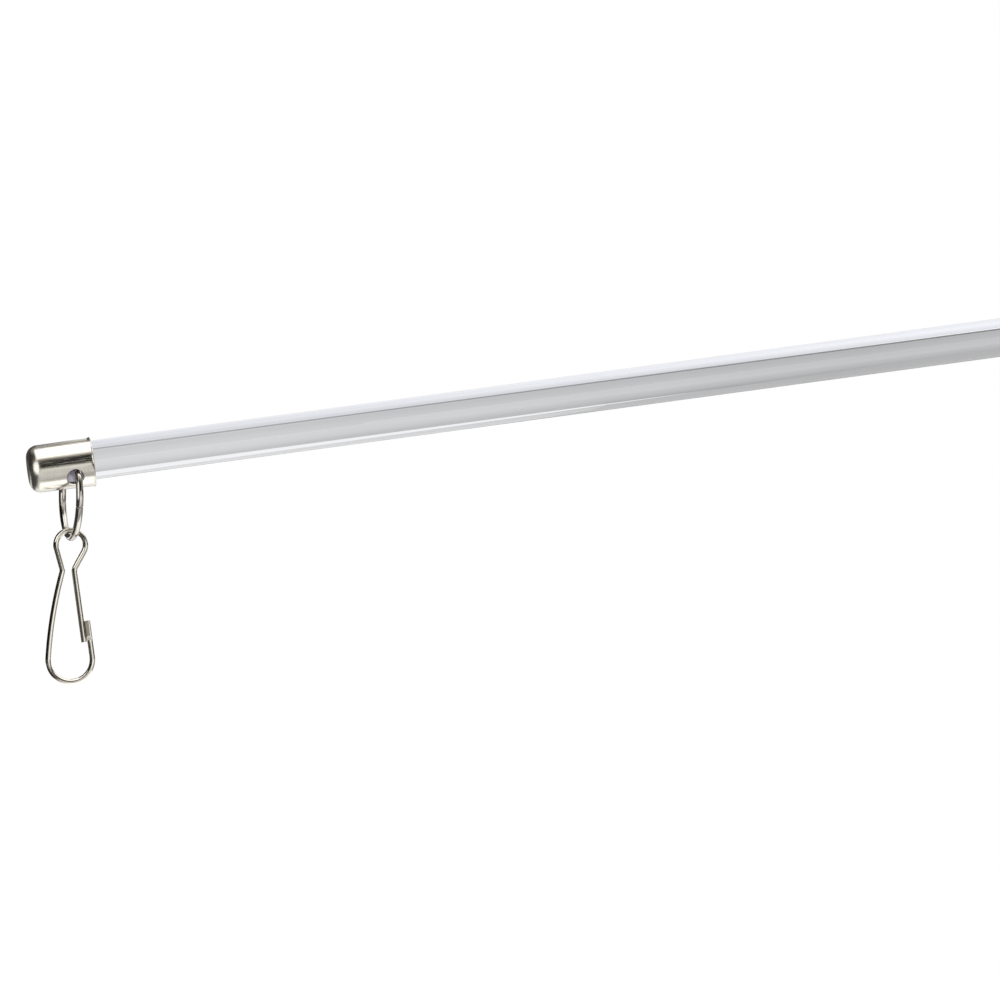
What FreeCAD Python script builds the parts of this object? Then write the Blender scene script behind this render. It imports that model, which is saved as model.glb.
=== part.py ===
import FreeCAD, Part
import math
import os
import Sketcher

# A clear curtain wand: acrylic rod, drawn end cap, jump ring and bent-wire snap hook.
# Frame: the rod lies along +X on the X axis, and the cap's mouth is at X = 0.
# +Z is up, and the lower end of the cross hole faces -Y.

SIZES = {
    # Rod
    "rod_diameter": 9.525,
    "rod_length": 914.4,
    "rod_chamfer": 0.5,
    # End cap
    "cap_length": 15.85,
    "cap_play": 0.875,
    "cap_draft": 0.26,
    "cap_wall": 0.55,
    "cap_corner_radius": 2.7,
    "cap_lip_length": 0.9,
    "cap_lip_flare": 0.2,
    "cap_seat_clearance": 0.03,
    "rod_end_clearance": 0.2,
    # Cross hole through cap and rod
    "hole_from_mouth": 4.95,
    "hole_roll": 35.0,
    "hole_play": 2.4,
    "rod_hole_extra": 1.3,
    # Jump ring
    "ring_radius": 10.17,
    "ring_wire": 1.8,
    "ring_seam": 0.16,
    "ring_seam_angle": 17.0,
    "ring_turn": 7.8,
    "ring_shift": 0.69,
    "ring_sag": 0.4,
    "ring_slide": 0.36,
    # Snap hook
    "hook_wire": 1.36,
    "hook_top_radius": 3.59,
    "hook_bottom_radius": 5.38,
    "hook_centres": 27.96,
    "hook_neck_drop": 9.9,
    "hook_neck_left": 2.03,
    "hook_neck_bend": 1.9,
    "hook_leg_radius": 105.0,
    "hook_arm_lean": 8.03,
    "hook_arm_drop": 22.0,
    "hook_gate_drop": 27.3,
    "hook_gate_clearance": 0.1,
    "hook_catch_length": 5.0,
    "hook_catch_extra": 0.7,
    "hook_catch_lip": 0.2,
    "hook_catch_round": 0.45,
    "hook_turn": 4.5,
    "hook_slide": 0.05,
    "hook_link_clearance": 0.12,
    # Lean of the hanging ring and hook towards the closed end
    "ring_lean": 7.65,
    "hook_lean": 8.03,
}

doc = FreeCAD.newDocument("curtain_wand")
sheet = doc.addObject("Spreadsheet::Sheet", "sizes")
for row, (alias, number) in enumerate(SIZES.items(), start=1):
    sheet.set(f"A{row}", alias)
    sheet.set(f"B{row}", str(number))
    sheet.setAlias(f"B{row}", alias)
doc.recompute()

# Formulas that several pieces share, written for the sheet's own names
CAP_END_RADIUS = "(sizes.rod_diameter + sizes.cap_play) / 2 + sizes.cap_wall"
CAP_MOUTH_RADIUS = f"{CAP_END_RADIUS} + sizes.cap_draft / 2"
CAP_DROP = "(sizes.cap_play / 2 - sizes.cap_seat_clearance)"
HOLE_DIAMETER = "sizes.ring_wire + sizes.hole_play"
ROD_DEPTH = "sizes.cap_length - sizes.cap_corner_radius - sizes.rod_end_clearance"


def size(alias):
    """A driving dimension, read back from the sheet."""
    return float(sheet.get(alias))


def vector(x, y, z=0.0):
    return FreeCAD.Vector(x, y, z)


def new_body(label):
    body = doc.addObject("PartDesign::Body", label)
    body.Label = label
    return body


def new_sketch(body, name, plane):
    """A sketch on one of the body's own origin planes."""
    sketch = body.newObject("Sketcher::SketchObject", name)
    support = [feature for feature in body.Origin.OriginFeatures if feature.Role == plane]
    sketch.AttachmentSupport = [(support[0], "")]
    sketch.MapMode = "FlatFace"
    return sketch


def rule(sketch, *parts):
    """Add a geometric constraint, such as Tangent or Vertical."""
    sketch.addConstraint(Sketcher.Constraint(*parts))


def dimension(sketch, name, formula, *parts):
    """Add a dimension that follows a formula of the sheet's cells."""
    index = sketch.addConstraint(Sketcher.Constraint(*parts))
    sketch.renameConstraint(index, name)
    sketch.setExpression(f"Constraints.{name}", formula)


def arc(centre, radius, start_degrees, end_degrees):
    circle = Part.Circle(centre, vector(0, 0, 1), radius)
    return Part.ArcOfCircle(circle, math.radians(start_degrees), math.radians(end_degrees))


def cross_hole(body, along, offset, diameter):
    """Round hole right through the body, along its own Y axis."""
    sketch = new_sketch(body, body.Label + "_hole_outline", "XZ_Plane")
    sketch.addGeometry(Part.Circle(vector(1, 1), vector(0, 0, 1), 2))
    dimension(sketch, "across", diameter, "Diameter", 0, 4)
    dimension(sketch, "along", along, "DistanceX", -1, 1, 0, 3, 1)
    if offset:
        dimension(sketch, "offset", offset, "DistanceY", -1, 1, 0, 3, 1)
    else:
        rule(sketch, "PointOnObject", 0, 3, -1)
    hole = body.newObject("PartDesign::Pocket", body.Label + "_hole")
    hole.Profile = sketch
    hole.SideType = "Symmetric"
    hole.setExpression("Length", f"4 * ({CAP_MOUTH_RADIUS})")


def make_rod():
    """Solid rod, chamfered at both ends, with its end inside the cap at local X = 0."""
    body = new_body("rod")
    outline = new_sketch(body, "rod_outline", "YZ_Plane")
    outline.addGeometry(Part.Circle(vector(0, 0), vector(0, 0, 1), size("rod_diameter") / 2))
    rule(outline, "Coincident", 0, 3, -1, 1)
    dimension(outline, "across", "sizes.rod_diameter", "Diameter", 0, size("rod_diameter"))
    pad = body.newObject("PartDesign::Pad", "rod_length")
    pad.Profile = outline
    pad.setExpression("Length", "sizes.rod_length")
    doc.recompute()
    chamfer = body.newObject("PartDesign::Chamfer", "rod_ends")
    rims = [f"Edge{i}" for i, e in enumerate(pad.Shape.Edges, 1) if e.isClosed()]
    chamfer.Base = (pad, rims)
    chamfer.setExpression("Size", "sizes.rod_chamfer")
    doc.recompute()
    cross_hole(
        body,
        f"{ROD_DEPTH} - sizes.hole_from_mouth",
        f"-{CAP_DROP} * cos(sizes.hole_roll * 1 deg)",
        f"{HOLE_DIAMETER} + sizes.rod_hole_extra",
    )
    body.setExpression("Placement.Base.x", f"-({ROD_DEPTH})")
    body.Placement.Rotation = FreeCAD.Rotation(vector(1, 0, 0), size("hole_roll"))
    return body


def make_end_cap():
    """Drawn cup with a round-cornered closed end and a flared lip, mouth at local X = 0."""
    body = new_body("end_cap")
    length = size("cap_length")
    corner = size("cap_corner_radius")
    lip = size("cap_lip_length")
    flare = size("cap_lip_flare")
    end_radius = (size("rod_diameter") + size("cap_play")) / 2 + size("cap_wall")
    mouth_radius = end_radius + size("cap_draft") / 2
    lip_radius = (lip**2 + flare**2) / (2 * flare)
    lip_sweep = math.degrees(math.asin(lip / lip_radius))
    outline = new_sketch(body, "cap_outline", "XZ_Plane")
    axis, end, round_corner, wall, bell, mouth = outline.addGeometry(
        [
            Part.LineSegment(vector(0, 0), vector(-length, 0)),
            Part.LineSegment(vector(-length, 0), vector(-length, end_radius - corner)),
            arc(vector(corner - length, end_radius - corner), corner, 90, 180),
            Part.LineSegment(vector(corner - length, end_radius), vector(-lip, mouth_radius)),
            arc(vector(-lip, mouth_radius + lip_radius), lip_radius, 270, 270 + lip_sweep),
            Part.LineSegment(vector(0, mouth_radius + flare), vector(0, 0)),
        ]
    )
    rule(outline, "Coincident", axis, 1, -1, 1)
    rule(outline, "Horizontal", axis)
    rule(outline, "Coincident", axis, 2, end, 1)
    rule(outline, "Vertical", end)
    rule(outline, "Tangent", end, 2, round_corner, 2)
    rule(outline, "Tangent", round_corner, 1, wall, 1)
    rule(outline, "Tangent", wall, 2, bell, 1)
    rule(outline, "Coincident", bell, 2, mouth, 1)
    rule(outline, "Coincident", mouth, 2, -1, 1)
    rule(outline, "Vertical", mouth)
    dimension(outline, "length", "sizes.cap_length", "DistanceX", axis, 2, axis, 1, length)
    dimension(outline, "corner", "sizes.cap_corner_radius", "Radius", round_corner, corner)
    dimension(outline, "corner_height", f"{CAP_END_RADIUS} - sizes.cap_corner_radius",
              "DistanceY", -1, 1, round_corner, 3, end_radius - corner)
    dimension(outline, "wall_height", CAP_MOUTH_RADIUS, "DistanceY", -1, 1, wall, 2, mouth_radius)
    dimension(outline, "lip_length", "sizes.cap_lip_length", "DistanceX", wall, 2, -1, 1, lip)
    dimension(outline, "lip_height", f"{CAP_MOUTH_RADIUS} + sizes.cap_lip_flare",
              "DistanceY", -1, 1, bell, 2, mouth_radius + flare)
    turned = body.newObject("PartDesign::Revolution", "cap_blank")
    turned.Profile = outline
    turned.ReferenceAxis = (outline, ["H_Axis"])
    turned.Angle = 360
    doc.recompute()
    mouth_faces = [
        f"Face{i}" for i, face in enumerate(turned.Shape.Faces, 1)
        if isinstance(face.Surface, Part.Plane) and abs(face.CenterOfMass.x) < 0.001
    ]
    shell = body.newObject("PartDesign::Thickness", "cap_wall")
    shell.Base = (turned, mouth_faces)
    shell.Reversed = True
    shell.setExpression("Value", "sizes.cap_wall")
    doc.recompute()
    cross_hole(body, "-sizes.hole_from_mouth", None, HOLE_DIAMETER)
    body.setExpression("Placement.Base.z", f"-{CAP_DROP}")
    body.Placement.Rotation = FreeCAD.Rotation(vector(1, 0, 0), size("hole_roll"))
    return body


def hanging_axes(lean_degrees, turn_degrees):
    """Axes of a piece that hangs leaning, then turns about its hanging line: across, back, down."""
    lean = math.radians(lean_degrees)
    turn = math.radians(turn_degrees)
    down = vector(-math.sin(lean), 0, -math.cos(lean))
    level = vector(math.cos(lean), 0, -math.sin(lean))
    back = vector(0, 1, 0) * math.cos(turn) - level * math.sin(turn)
    across = level * math.cos(turn) + vector(0, 1, 0) * math.sin(turn)
    return across, back, down


def ring_centre():
    """Where the ring hangs in the cross hole, from the hole's own axis and the cap's radius."""
    across, back, down = hanging_axes(size("ring_lean"), size("ring_turn"))
    roll = math.radians(size("hole_roll"))
    drop = size("cap_play") / 2 - size("cap_seat_clearance")
    hole = vector(-size("hole_from_mouth"), 0, -drop)
    wall_middle = (size("rod_diameter") + size("cap_play") + size("cap_wall")) / 2
    hang = math.sqrt(size("ring_radius") ** 2 - wall_middle**2) + size("ring_sag")
    to_back = hang * math.sin(roll) - size("ring_slide") * math.cos(roll)
    to_bottom = hang * math.cos(roll) + size("ring_slide") * math.sin(roll)
    return hole + back * to_back + down * to_bottom + vector(size("ring_shift"), 0, 0)


def make_ring():
    """Round wire turned through almost a full circle, leaving the butt seam open a hair."""
    body = new_body("ring")
    outline = new_sketch(body, "ring_section", "XZ_Plane")
    outline.addGeometry(Part.Circle(vector(size("ring_radius"), 0), vector(0, 0, 1), size("ring_wire") / 2))
    rule(outline, "PointOnObject", 0, 3, -1)
    dimension(outline, "across", "sizes.ring_wire", "Diameter", 0, size("ring_wire"))
    dimension(outline, "radius", "sizes.ring_radius", "DistanceX", -1, 1, 0, 3, size("ring_radius"))
    turned = body.newObject("PartDesign::Revolution", "ring_turn")
    turned.Profile = outline
    turned.ReferenceAxis = (outline, ["V_Axis"])
    turned.setExpression("Angle", "360 - sizes.ring_seam / sizes.ring_radius * 180 / pi")
    across, back, down = hanging_axes(size("ring_lean"), size("ring_turn"))
    below = math.radians(size("ring_seam_angle"))
    seam = down * math.sin(below) - back * math.cos(below)
    turn = FreeCAD.Rotation(seam, across.cross(seam), across, "XZY")
    body.Placement = FreeCAD.Placement(ring_centre(), turn)
    return body


def crossing_tangent(low, low_radius, high, high_radius, side):
    """Direction, in degrees, of the straight wire from a neck bend up to the top loop."""
    gap = high - low
    swing = math.degrees(math.asin((low_radius + high_radius) / gap.Length))
    return math.degrees(math.atan2(gap.y, gap.x)) - side * swing


def make_hook_route(body):
    """Centre line of the hook's wire, from the gate's cut end up, over and round to the catch."""
    top = size("hook_top_radius")
    bottom = size("hook_bottom_radius")
    bend = size("hook_neck_bend")
    neck = -size("hook_neck_drop")
    lean_degrees = size("hook_arm_lean")
    lean = math.radians(lean_degrees)
    spacing = size("hook_wire") + size("hook_gate_clearance")
    up = vector(-math.sin(lean), math.cos(lean))
    out = vector(math.cos(lean), math.sin(lean))
    top_centre = vector(0, -top)
    low_centre = vector(0, -top - size("hook_centres"))
    arm_foot = low_centre + out * bottom

    def along_arm(inward, height):
        """The point at a height on a line beside the arm."""
        foot = arm_foot - out * inward
        return foot + up * ((height - foot.y) / up.y)

    arm_end = along_arm(0, -size("hook_arm_drop"))
    gate_end = along_arm(spacing, -size("hook_gate_drop"))
    right_bend = along_arm(spacing - bend, neck)
    left_bend = vector(-size("hook_neck_left") - bend, neck)
    right_way = crossing_tangent(right_bend, bend, top_centre, top, 1)
    left_way = crossing_tangent(left_bend, bend, top_centre, top, -1)
    # The left leg is one shallow arc: its centre is set by touching the lower loop and the left bend
    leg = size("hook_leg_radius")
    to_loop = low_centre - left_bend
    span = to_loop.Length
    share = (span**2 + (leg + bend) ** 2 - (leg - bottom) ** 2) / (2 * span)
    aside = math.sqrt((leg + bend) ** 2 - share**2)
    to_loop.normalize()
    leg_centre = left_bend + to_loop * share + vector(-to_loop.y, to_loop.x) * aside
    leg_foot = math.degrees(math.atan2(low_centre.y - leg_centre.y, low_centre.x - leg_centre.x)) % 360
    to_bend = left_bend - leg_centre
    leg_way = math.degrees(math.atan2(to_bend.y, to_bend.x))

    right_arc = arc(right_bend, bend, right_way + 90, 180 + lean_degrees)
    loop_arc = arc(top_centre, top, right_way - 90, left_way + 90)
    left_arc = arc(left_bend, bend, leg_way - 180, left_way - 90)
    leg_arc = arc(leg_centre, leg, leg_way, leg_foot)
    low_arc = arc(low_centre, bottom, leg_foot, 360 + lean_degrees)
    route = new_sketch(body, "hook_route", "XZ_Plane")
    gate, right, flank, loop, slope, left, leg_line, low, arm = route.addGeometry(
        [
            Part.LineSegment(gate_end, right_arc.EndPoint),
            right_arc,
            Part.LineSegment(right_arc.StartPoint, loop_arc.StartPoint),
            loop_arc,
            Part.LineSegment(loop_arc.EndPoint, left_arc.EndPoint),
            left_arc,
            leg_arc,
            low_arc,
            Part.LineSegment(arm_foot, arm_end),
        ]
    )
    joins = [
        (gate, 2, right, 2),
        (right, 1, flank, 1),
        (flank, 2, loop, 1),
        (loop, 2, slope, 1),
        (slope, 2, left, 2),
        (left, 1, leg_line, 1),
        (leg_line, 2, low, 1),
        (low, 2, arm, 1),
    ]
    for join in joins:
        rule(route, "Tangent", *join)
    rule(route, "PointOnObject", loop, 3, -2)
    rule(route, "PointOnObject", low, 3, -2)
    rule(route, "Parallel", gate, arm)
    dimension(route, "top_radius", "sizes.hook_top_radius", "Radius", loop, top)
    dimension(route, "top_drop", "sizes.hook_top_radius", "DistanceY", loop, 3, -1, 1, top)
    dimension(route, "low_radius", "sizes.hook_bottom_radius", "Radius", low, bottom)
    dimension(route, "centres", "sizes.hook_centres", "DistanceY", low, 3, loop, 3, size("hook_centres"))
    dimension(route, "right_bend", "sizes.hook_neck_bend", "Radius", right, bend)
    dimension(route, "left_bend", "sizes.hook_neck_bend", "Radius", left, bend)
    dimension(route, "leg_radius", "sizes.hook_leg_radius", "Radius", leg_line, leg)
    dimension(route, "right_drop", "sizes.hook_neck_drop", "DistanceY", right, 3, -1, 1, -neck)
    dimension(route, "left_drop", "sizes.hook_neck_drop", "DistanceY", left, 3, -1, 1, -neck)
    dimension(route, "neck_left", "sizes.hook_neck_left + sizes.hook_neck_bend",
              "DistanceX", left, 3, -1, 1, -left_bend.x)
    dimension(route, "arm_lean", "sizes.hook_arm_lean * 1 deg", "Angle", -2, 1, arm, 1, lean)
    dimension(route, "arm_drop", "sizes.hook_arm_drop", "DistanceY", arm, 2, -1, 1, size("hook_arm_drop"))
    dimension(route, "gate_drop", "sizes.hook_gate_drop", "DistanceY", gate, 1, -1, 1, size("hook_gate_drop"))
    dimension(route, "spacing", "sizes.hook_wire + sizes.hook_gate_clearance",
              "Distance", gate, 1, arm, spacing)
    doc.recompute()
    return route, arm_end, up, out


def section_on_route(body, route, name, diameter):
    """A circle square to the route at the gate's cut end."""
    section = body.newObject("Sketcher::SketchObject", name)
    section.AttachmentSupport = [(route, "Edge1"), (route, "Vertex1")]
    section.MapMode = "NormalToEdge"
    section.addGeometry(Part.Circle(vector(0, 0), vector(0, 0, 1), size("hook_wire") / 2))
    rule(section, "Coincident", 0, 3, -1, 1)
    dimension(section, "across", diameter, "Diameter", 0, size("hook_wire"))
    return section


def make_catch(body, route, arm_end, up, out):
    """Flattened arm end whose inner side is pressed into a seat round the gate's wire."""
    wire = size("hook_wire")
    length = size("hook_catch_length")
    inner = -(wire / 2 + size("hook_gate_clearance") + size("hook_catch_lip"))
    corners = [
        arm_end + out * inner,
        arm_end + out * inner - up * length,
        arm_end + out * wire / 2 - up * length,
        arm_end + out * wire / 2,
    ]
    outline = new_sketch(body, "catch_outline", "XZ_Plane")
    sides = []
    for number, corner in enumerate(corners):
        side = Part.LineSegment(corner, corners[(number + 1) % 4])
        sides.append(outline.addGeometry(side))
    inside, foot, outside, head = sides
    for number, side in enumerate(sides):
        rule(outline, "Coincident", side, 2, sides[(number + 1) % 4], 1)
    outline.addExternal(route.Name, "Edge9")
    rule(outline, "Parallel", inside, -3)
    rule(outline, "Parallel", outside, -3)
    rule(outline, "Perpendicular", foot, inside)
    rule(outline, "Perpendicular", head, inside)
    rule(outline, "PointOnObject", -3, 2, head)
    dimension(outline, "length", "sizes.hook_catch_length", "Distance", outside, 1, outside, 2, length)
    dimension(outline, "outer", "sizes.hook_wire / 2", "Distance", -3, 2, outside, wire / 2)
    dimension(outline, "inner", "sizes.hook_wire / 2 + sizes.hook_gate_clearance + sizes.hook_catch_lip",
              "Distance", -3, 2, inside, -inner)
    pad = body.newObject("PartDesign::Pad", "catch_blank")
    pad.Profile = outline
    pad.SideType = "Symmetric"
    pad.setExpression("Length", "sizes.hook_wire + sizes.hook_catch_extra")
    doc.recompute()
    outer_edges = []
    for number, edge in enumerate(pad.Shape.Edges, 1):
        middle = edge.CenterOfMass - vector(arm_end.x, 0, arm_end.y)
        aside = middle.x * out.x + middle.z * out.y
        lengthwise = abs(edge.Length - length) < 0.001
        if lengthwise and aside > 0:
            outer_edges.append(f"Edge{number}")
    rounded = body.newObject("PartDesign::Fillet", "catch_back")
    rounded.Base = (pad, outer_edges)
    rounded.setExpression("Radius", "sizes.hook_catch_round")
    doc.recompute()
    seat = body.newObject("PartDesign::SubtractivePipe", "catch_seat")
    seat.Profile = section_on_route(
        body, route, "seat_section", "sizes.hook_wire + 2 * sizes.hook_gate_clearance"
    )
    seat.Spine = (route, ["Edge1"])
    doc.recompute()


def make_snap_hook():
    """Bent-wire hook: top loop on the ring, pinched neck, lower loop, sprung gate and catch."""
    body = new_body("snap_hook")
    route, arm_end, up, out = make_hook_route(body)
    make_catch(body, route, arm_end, up, out)
    wire = body.newObject("PartDesign::AdditivePipe", "hook_wire")
    wire.Profile = section_on_route(body, route, "wire_section", "sizes.hook_wire")
    wire.Spine = (route, [f"Edge{number}" for number in range(1, 10)])
    across, back, down = hanging_axes(size("hook_lean"), -size("hook_turn"))
    reach = size("ring_radius") - (size("ring_wire") + size("hook_wire")) / 2 - size("hook_link_clearance")
    turn = FreeCAD.Rotation(across, back, -down, "ZXY")
    top = ring_centre() + down * reach - across * size("hook_slide")
    body.Placement = FreeCAD.Placement(top, turn)
    return body


bodies = [make_rod(), make_end_cap(), make_ring(), make_snap_hook()]
doc.recompute()

for item in doc.Objects:
    if "Invalid" in item.State or "Error" in item.State:
        raise RuntimeError(f"{item.Label} did not recompute: {item.State}")
os.makedirs("parts", exist_ok=True)
for body in bodies:
    if body.Shape.isNull() or not body.Shape.isValid():
        raise RuntimeError(f"{body.Label} has no valid shape")
    body.Shape.exportStep(f"parts/{body.Label}.step")
    print(body.Label, round(body.Shape.Volume, 3), body.Shape.BoundBox)
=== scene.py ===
import math

import bmesh
import bpy
import numpy as np
from mathutils import Matrix, Vector


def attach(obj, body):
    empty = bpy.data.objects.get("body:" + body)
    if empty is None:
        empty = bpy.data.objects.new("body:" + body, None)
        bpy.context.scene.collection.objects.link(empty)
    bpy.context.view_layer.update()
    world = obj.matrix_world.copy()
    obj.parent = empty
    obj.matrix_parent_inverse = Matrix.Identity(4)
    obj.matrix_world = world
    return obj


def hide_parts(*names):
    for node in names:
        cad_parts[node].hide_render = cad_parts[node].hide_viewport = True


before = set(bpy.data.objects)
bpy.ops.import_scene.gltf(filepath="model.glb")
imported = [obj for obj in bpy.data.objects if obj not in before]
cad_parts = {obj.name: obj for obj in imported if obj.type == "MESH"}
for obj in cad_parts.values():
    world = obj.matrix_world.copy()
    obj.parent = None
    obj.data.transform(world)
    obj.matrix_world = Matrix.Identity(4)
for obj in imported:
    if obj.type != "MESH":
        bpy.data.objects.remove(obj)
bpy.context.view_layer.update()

# A clear curtain wand: acrylic rod, drawn end cap, jump ring and bent-wire snap hook.
# Sizes are in millimetres, as the maker would give them, and meshes are in metres.
MM = 0.001
QUARTER = math.pi / 2
FULL = 2 * math.pi

# Rod
ROD_RADIUS = 9.525 / 2
ROD_START = -12.95
ROD_END = 901.45
ROD_CHAMFER = 0.5
ROD_HOLE_RADIUS = 2.75
ROD_HOLE_EDGE = 0.06

# Where the rod's rows of points lie: close beside its edges, near its cap, and wide apart beyond
ROD_HALF_STEPS = 64
ROD_EDGE_ROW = 0.03
ROD_ROUND_ROW = 0.06
ROD_FACE_ROW = 0.08
ROD_FIRST_ROW = 1.2
ROD_HOLED_BEFORE = 5.0
ROD_HOLED_AFTER = 4.6
ROD_CLOSE_END = 20.0
ROD_WIDE_START = 26.0
ROD_WIDE_MARGIN = 6.0

# End cap
CAP_LENGTH = 15.85
CAP_WALL = 0.55
CAP_CORNER = 2.7
CAP_END_RADIUS = 5.75
CAP_MOUTH_RADIUS = 5.88
CAP_LIP_LENGTH = 0.9
CAP_LIP_FLARE = 0.2
CAP_LIP_EDGE = 0.12
CAP_DROP = 0.4075
CAP_HOLE_RADIUS = 2.1
CAP_HOLE_EDGE = 0.12
CAP_HOLED_HALF = 3.9
CAP_HALF_STEPS = 72
CAP_FACE_ROWS = np.array([0, 0.3, 0.6, 0.97])

# Cross hole through cap and rod, rolled round the rod's axis
HOLE_X = -4.95
HOLE_ROLL = math.radians(35.0)
HOLE_WAY = np.array([0.0, math.cos(HOLE_ROLL), math.sin(HOLE_ROLL)])
HOLE_SIDE = np.array([0.0, -math.sin(HOLE_ROLL), math.cos(HOLE_ROLL)])
# Millimetres to a radian, so that points spread evenly round the hole
HOLE_SPREAD = 4.0

# Jump ring
RING_RADIUS = 10.17
RING_WIRE_RADIUS = 0.9
RING_SEAM = 0.16
RING_SEAM_BELOW = math.radians(17.0)
RING_TURN = math.radians(7.8)
RING_SHIFT = 0.69
RING_SAG = 0.4
RING_SLIDE = 0.36
RING_LEAN = math.radians(7.65)
RING_END_EDGE = 0.12
RING_STEPS = 400
RING_SECTION_STEPS = 48

# Snap hook
HOOK_WIRE_RADIUS = 0.68
HOOK_TOP_RADIUS = 3.59
HOOK_LOW_RADIUS = 5.38
HOOK_CENTRES = 27.96
HOOK_NECK_DROP = 9.9
HOOK_NECK_LEFT = 2.03
HOOK_NECK_BEND = 1.9
HOOK_LEG_RADIUS = 105.0
HOOK_ARM_LEAN = math.radians(8.03)
HOOK_ARM_DROP = 22.0
HOOK_GATE_DROP = 27.3
HOOK_GATE_CLEARANCE = 0.1
HOOK_GATE_SPACING = 2 * HOOK_WIRE_RADIUS + HOOK_GATE_CLEARANCE
HOOK_CATCH_LENGTH = 5.0
HOOK_CATCH_WIDTH = 2.06
HOOK_CATCH_LIP = 0.2
HOOK_CATCH_SQUARENESS = 0.42
HOOK_PRESS_LENGTH = 1.1
HOOK_TURN = math.radians(4.5)
HOOK_LINK_CLEARANCE = 0.12
HOOK_SLIDE = 0.05
HOOK_LEAN = math.radians(8.03)
HOOK_END_EDGE = 0.14
HOOK_STEP = 0.16
HOOK_SECTION_STEPS = 64
# How much a bend squeezes the wire, up to a tightest bend, evened out over a few rows
HOOK_SQUEEZE = 0.06
HOOK_TIGHTEST = 0.6
HOOK_EVEN_ROWS = 9

# Sheared wire ends: rows on the flat of the cut and round its edge
END_FLAT_ROWS = [0.0, 0.35, 0.7]
END_EDGE_ROWS = 6


# Making a piece from grids of points

WELD_DISTANCE = 2e-7
THINNEST_EDGE = 1e-8


def patch(points, mark=0.0, lengths=None):
    """A grid of points with a mark from 0 to 1 at each, and the lengths along and around for its map."""
    shape = points.shape[:2]
    marks = np.broadcast_to(np.asarray(mark, float), shape)
    if lengths is None:
        lengths = np.zeros(shape + (2,))
    return points, marks, lengths


def patch_quads(shape, first):
    """Quads between neighbouring rows and columns of a grid whose numbering begins at first."""
    index = np.arange(shape[0] * shape[1]).reshape(shape) + first
    corners = [index[:-1, :-1], index[:-1, 1:], index[1:, 1:], index[1:, :-1]]
    return np.stack(corners, axis=-1).reshape(-1, 4)


def make_piece(name, patches, finish, mark_name):
    """One closed skin: quads join each patch's neighbours, and points that meet are welded."""
    points = np.concatenate([points.reshape(-1, 3) for points, _, _ in patches])
    marks = np.concatenate([marks.reshape(-1) for _, marks, _ in patches])
    lengths = np.concatenate([lengths.reshape(-1, 2) for _, _, lengths in patches])
    quads = []
    first = 0
    for grid, _, _ in patches:
        quads.append(patch_quads(grid.shape[:2], first))
        first += grid.shape[0] * grid.shape[1]
    quads = np.concatenate(quads)
    mesh = bpy.data.meshes.new(name)
    mesh.from_pydata((points * MM).tolist(), [], quads.tolist())
    mesh.attributes.new(mark_name, "FLOAT", "POINT").data.foreach_set("value", marks.astype(np.float32))
    wire_map = mesh.uv_layers.new(name="lengths")
    wire_map.data.foreach_set("uv", lengths[quads.reshape(-1)].astype(np.float32).reshape(-1))
    weld = bmesh.new()
    weld.from_mesh(mesh)
    bmesh.ops.remove_doubles(weld, verts=weld.verts, dist=WELD_DISTANCE)
    bmesh.ops.dissolve_degenerate(weld, edges=weld.edges, dist=THINNEST_EDGE)
    bmesh.ops.recalc_face_normals(weld, faces=weld.faces)
    weld.to_mesh(mesh)
    weld.free()
    mesh.shade_smooth()
    mesh.materials.append(finish)
    piece = bpy.data.objects.new(name, mesh)
    bpy.context.scene.collection.objects.link(piece)
    return piece


def turned(along, radius, turns, drop):
    """Surface of turning: each point is its place along X plus its radius times a turned direction."""
    way = np.cos(turns)[:, None] * HOLE_WAY + np.sin(turns)[:, None] * HOLE_SIDE
    points = radius[:, None, None] * way[None, :, :]
    points[:, :, 0] += along[:, None]
    points[:, :, 2] -= drop
    return points


def full_turn(half_steps):
    """Angles once round the axis that meet a half wall's edges."""
    return -QUARTER + np.linspace(0, FULL, 2 * half_steps + 1)


def wall_frame(x_low, x_high, long_steps, half_steps):
    """Places (x, turn) once round the edge of a half wall that has the hole in it."""
    along = np.linspace(x_low, x_high, long_steps + 1)
    turns = np.linspace(-QUARTER, QUARTER, half_steps + 1)
    edge_x = [
        along[:-1],
        np.full(half_steps, x_high),
        along[:0:-1],
        np.full(half_steps, x_low),
        along[:1],
    ]
    edge_turn = [
        np.full(long_steps, -QUARTER),
        turns[:-1],
        np.full(long_steps, QUARTER),
        turns[:0:-1],
        turns[:1],
    ]
    return np.concatenate(edge_x), np.concatenate(edge_turn)


def half_wall_points(x, turn, radius, side, drop):
    """Points of a half wall: x along, and radius times the turned direction on one side of the hole."""
    points = (radius * np.cos(turn) * side)[..., None] * HOLE_WAY
    points = points + (radius * np.sin(turn))[..., None] * HOLE_SIDE
    points[..., 0] += x
    points[..., 2] -= drop
    return points


def rounded_edge(edge, steps):
    """Quarter round of a hole's edge: extra radius falls from edge to 0 while depth grows to edge."""
    angle = np.linspace(0, QUARTER, steps)
    return edge * (1 - np.sin(angle)), edge * (1 - np.cos(angle))


# Rod

def rod_end_rows():
    """Rows of a rod's end, from the middle of its face over the chamfer: how far in, and the radius."""
    core = ROD_RADIUS - ROD_CHAMFER
    face_r = [0, core * 0.5, core - ROD_FACE_ROW, core]
    chamfer_in = [ROD_EDGE_ROW, ROD_CHAMFER - ROD_EDGE_ROW]
    chamfer_r = [core + ROD_EDGE_ROW, ROD_RADIUS - ROD_EDGE_ROW]
    round_in = [ROD_CHAMFER, ROD_CHAMFER + ROD_ROUND_ROW]
    round_r = [ROD_RADIUS, ROD_RADIUS]
    return np.array([0, 0, 0, 0] + chamfer_in + round_in), np.array(face_r + chamfer_r + round_r)


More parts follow.
